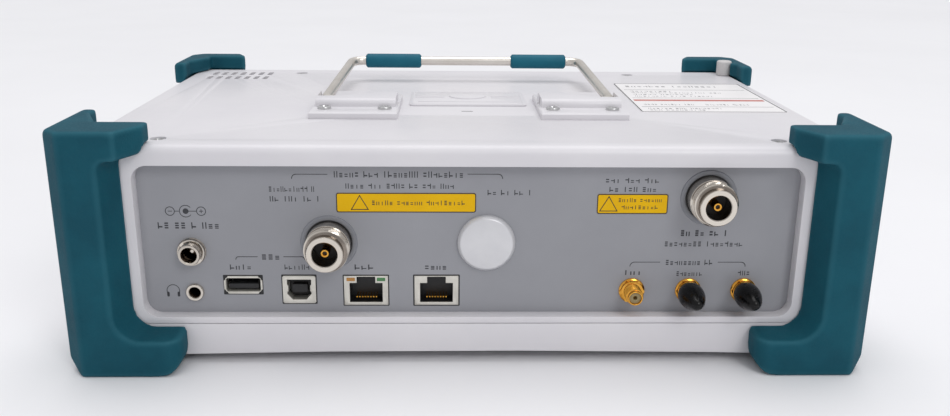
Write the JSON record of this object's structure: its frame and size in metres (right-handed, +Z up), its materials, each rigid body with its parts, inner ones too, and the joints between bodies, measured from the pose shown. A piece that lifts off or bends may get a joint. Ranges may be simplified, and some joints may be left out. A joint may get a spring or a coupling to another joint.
{
  "type": "vector network analyzer",
  "caption": "Portable vector network analyzer lying on its screen, with a recessed connector panel, moulded corner bumpers and a folding wire stand on its back cover.",
  "frame": {"origin": "centre of the four feet, on the surface the instrument lies on", "axes": "+X along the connector panel, -Y the way the connectors face, +Z up through the back cover"},
  "size_m": [0.29, 0.1978, 0.0957],
  "materials": {
    "cover_plastic": "fine moulded texture",
    "panel_paint": "satin grey paint with printed legends",
    "bumper_rubber": "matte moulded elastomer",
    "sleeve_rubber": "matte moulded elastomer",
    "nickel": "satin nickel plate on brass",
    "gold_plate": "gold plate",
    "shell_steel": "tinned steel shell",
    "plug_aluminium": "satin",
    "cap_rubber": "glossy",
    "stainless_wire": "drawn and polished",
    "screw_steel": "plated",
    "label_film": "printed film",
    "stylus_plastic": "moulded",
    "window_glass": "anti-glare",
    "module_metal": "milled",
    "circuit_board": "solder mask",
    "black_plastic": "moulded",
    "knob_rubber": "matte",
    "key_plastic": "moulded",
    "soft_key_plastic": "moulded",
    "power_plastic": "moulded"
  },
  "bodies": {
    "case": {"audio_jack": "nickel", "back_cover": "cover_plastic", "badge_plate": "cover_plastic", "battery_pack": "black_plastic", "battery_tray": "black_plastic", "bumper_front_left": "bumper_rubber", "bumper_front_right": "bumper_rubber", "bumper_rear_left": "bumper_rubber", "bumper_rear_right": "bumper_rubber", "case_screws": "screw_steel", "connector_panel": "panel_paint", "dc_jack": "nickel", "display_module": "module_metal", "display_window": "window_glass", "fan_frame": "black_plastic", "front_cover": "cover_plastic", "gpio_jack": "shell_steel", "hinge_plate_left": "cover_plastic", "hinge_plate_right": "cover_plastic", "keypad_board": "circuit_board", "lan_jack": "shell_steel", "main_board": "circuit_board", "port_blank_plug": "plug_aluminium", "rating_label": "label_film", "rf_contacts": "gold_plate", "rf_in_connector": "nickel", "rf_module_box": "module_metal", "rf_module_lid": "module_metal", "rf_out_connector": "nickel", "sma_connectors": "gold_plate", "speaker": "black_plastic", "usb_client_port": "shell_steel", "usb_host_port": "shell_steel"},
    "stand": {"stand_bail": "stainless_wire", "bail_sleeve_left": "sleeve_rubber", "bail_sleeve_right": "sleeve_rubber"},
    "stylus": {"stylus": "stylus_plastic"},
    "trigger_cap": {"trigger_cap": "cap_rubber"},
    "reference_cap": {"reference_cap": "cap_rubber"},
    "battery_door": {"battery_door": "cover_plastic"},
    "fan_rotor": {"fan_rotor": "black_plastic"},
    "rotary_knob": {"rotary_knob": "knob_rubber"},
    "power_button": {"power_button": "power_plastic"},
    "key_0": {"key_0": "key_plastic"},
    "key_1": {"key_1": "key_plastic"},
    "key_2": {"key_2": "key_plastic"},
    "key_3": {"key_3": "key_plastic"},
    "key_4": {"key_4": "key_plastic"},
    "key_5": {"key_5": "key_plastic"},
    "key_6": {"key_6": "key_plastic"},
    "key_7": {"key_7": "key_plastic"},
    "key_8": {"key_8": "key_plastic"},
    "key_9": {"key_9": "key_plastic"},
    "key_point": {"key_point": "key_plastic"},
    "key_sign": {"key_sign": "key_plastic"},
    "soft_key_1": {"soft_key_1": "soft_key_plastic"},
    "soft_key_2": {"soft_key_2": "soft_key_plastic"},
    "soft_key_3": {"soft_key_3": "soft_key_plastic"},
    "soft_key_4": {"soft_key_4": "soft_key_plastic"},
    "soft_key_5": {"soft_key_5": "soft_key_plastic"}
  },
  "joints": [
    {"name": "stand_hinge", "type": "hinge", "parent": "case", "child": "stand", "pos_m": [0, -0.018, 0.086], "axis": [1, 0, 0], "range_deg": [-4, 95]},
    {"name": "stylus_slide", "type": "slide", "parent": "case", "child": "stylus", "axis": [0, 0, 1], "range_m": [0, 0.058]},
    {"name": "trigger_cap_slide", "type": "slide", "parent": "case", "child": "trigger_cap", "axis": [0, -1, 0], "range_m": [0, 0.018]},
    {"name": "reference_cap_slide", "type": "slide", "parent": "case", "child": "reference_cap", "axis": [0, -1, 0], "range_m": [0, 0.018]},
    {"name": "battery_door_slide", "type": "slide", "parent": "case", "child": "battery_door", "axis": [0, 1, 0], "range_m": [0, 0.03]},
    {"name": "fan_spin", "type": "hinge", "parent": "case", "child": "fan_rotor", "pos_m": [-0.1135, 0.069, 0.075], "axis": [0, 0, 1], "continuous": true},
    {"name": "knob_turn", "type": "hinge", "parent": "case", "child": "rotary_knob", "pos_m": [0.102, -0.052, 0.004], "axis": [0, 0, 1], "continuous": true},
    {"name": "power_button_press", "type": "slide", "parent": "case", "child": "power_button", "axis": [0, 0, 1], "range_m": [0, 0.001], "stiffness_N_per_m": 300, "springref_m": -0.0005},
    {"name": "key_0_press", "type": "slide", "parent": "case", "child": "key_0", "axis": [0, 0, 1], "range_m": [0, 0.001], "stiffness_N_per_m": 300, "springref_m": -0.0005},
    {"name": "key_1_press", "type": "slide", "parent": "case", "child": "key_1", "axis": [0, 0, 1], "range_m": [0, 0.001], "stiffness_N_per_m": 300, "springref_m": -0.0005},
    {"name": "key_2_press", "type": "slide", "parent": "case", "child": "key_2", "axis": [0, 0, 1], "range_m": [0, 0.001], "stiffness_N_per_m": 300, "springref_m": -0.0005},
    {"name": "key_3_press", "type": "slide", "parent": "case", "child": "key_3", "axis": [0, 0, 1], "range_m": [0, 0.001], "stiffness_N_per_m": 300, "springref_m": -0.0005},
    {"name": "key_4_press", "type": "slide", "parent": "case", "child": "key_4", "axis": [0, 0, 1], "range_m": [0, 0.001], "stiffness_N_per_m": 300, "springref_m": -0.0005},
    {"name": "key_5_press", "type": "slide", "parent": "case", "child": "key_5", "axis": [0, 0, 1], "range_m": [0, 0.001], "stiffness_N_per_m": 300, "springref_m": -0.0005},
    {"name": "key_6_press", "type": "slide", "parent": "case", "child": "key_6", "axis": [0, 0, 1], "range_m": [0, 0.001], "stiffness_N_per_m": 300, "springref_m": -0.0005},
    {"name": "key_7_press", "type": "slide", "parent": "case", "child": "key_7", "axis": [0, 0, 1], "range_m": [0, 0.001], "stiffness_N_per_m": 300, "springref_m": -0.0005},
    {"name": "key_8_press", "type": "slide", "parent": "case", "child": "key_8", "axis": [0, 0, 1], "range_m": [0, 0.001], "stiffness_N_per_m": 300, "springref_m": -0.0005},
    {"name": "key_9_press", "type": "slide", "parent": "case", "child": "key_9", "axis": [0, 0, 1], "range_m": [0, 0.001], "stiffness_N_per_m": 300, "springref_m": -0.0005},
    {"name": "key_point_press", "type": "slide", "parent": "case", "child": "key_point", "axis": [0, 0, 1], "range_m": [0, 0.001], "stiffness_N_per_m": 300, "springref_m": -0.0005},
    {"name": "key_sign_press", "type": "slide", "parent": "case", "child": "key_sign", "axis": [0, 0, 1], "range_m": [0, 0.001], "stiffness_N_per_m": 300, "springref_m": -0.0005},
    {"name": "soft_key_1_press", "type": "slide", "parent": "case", "child": "soft_key_1", "axis": [0, 0, 1], "range_m": [0, 0.001], "stiffness_N_per_m": 300, "springref_m": -0.0005},
    {"name": "soft_key_2_press", "type": "slide", "parent": "case", "child": "soft_key_2", "axis": [0, 0, 1], "range_m": [0, 0.001], "stiffness_N_per_m": 300, "springref_m": -0.0005},
    {"name": "soft_key_3_press", "type": "slide", "parent": "case", "child": "soft_key_3", "axis": [0, 0, 1], "range_m": [0, 0.001], "stiffness_N_per_m": 300, "springref_m": -0.0005},
    {"name": "soft_key_4_press", "type": "slide", "parent": "case", "child": "soft_key_4", "axis": [0, 0, 1], "range_m": [0, 0.001], "stiffness_N_per_m": 300, "springref_m": -0.0005},
    {"name": "soft_key_5_press", "type": "slide", "parent": "case", "child": "soft_key_5", "axis": [0, 0, 1], "range_m": [0, 0.001], "stiffness_N_per_m": 300, "springref_m": -0.0005}
  ]
}
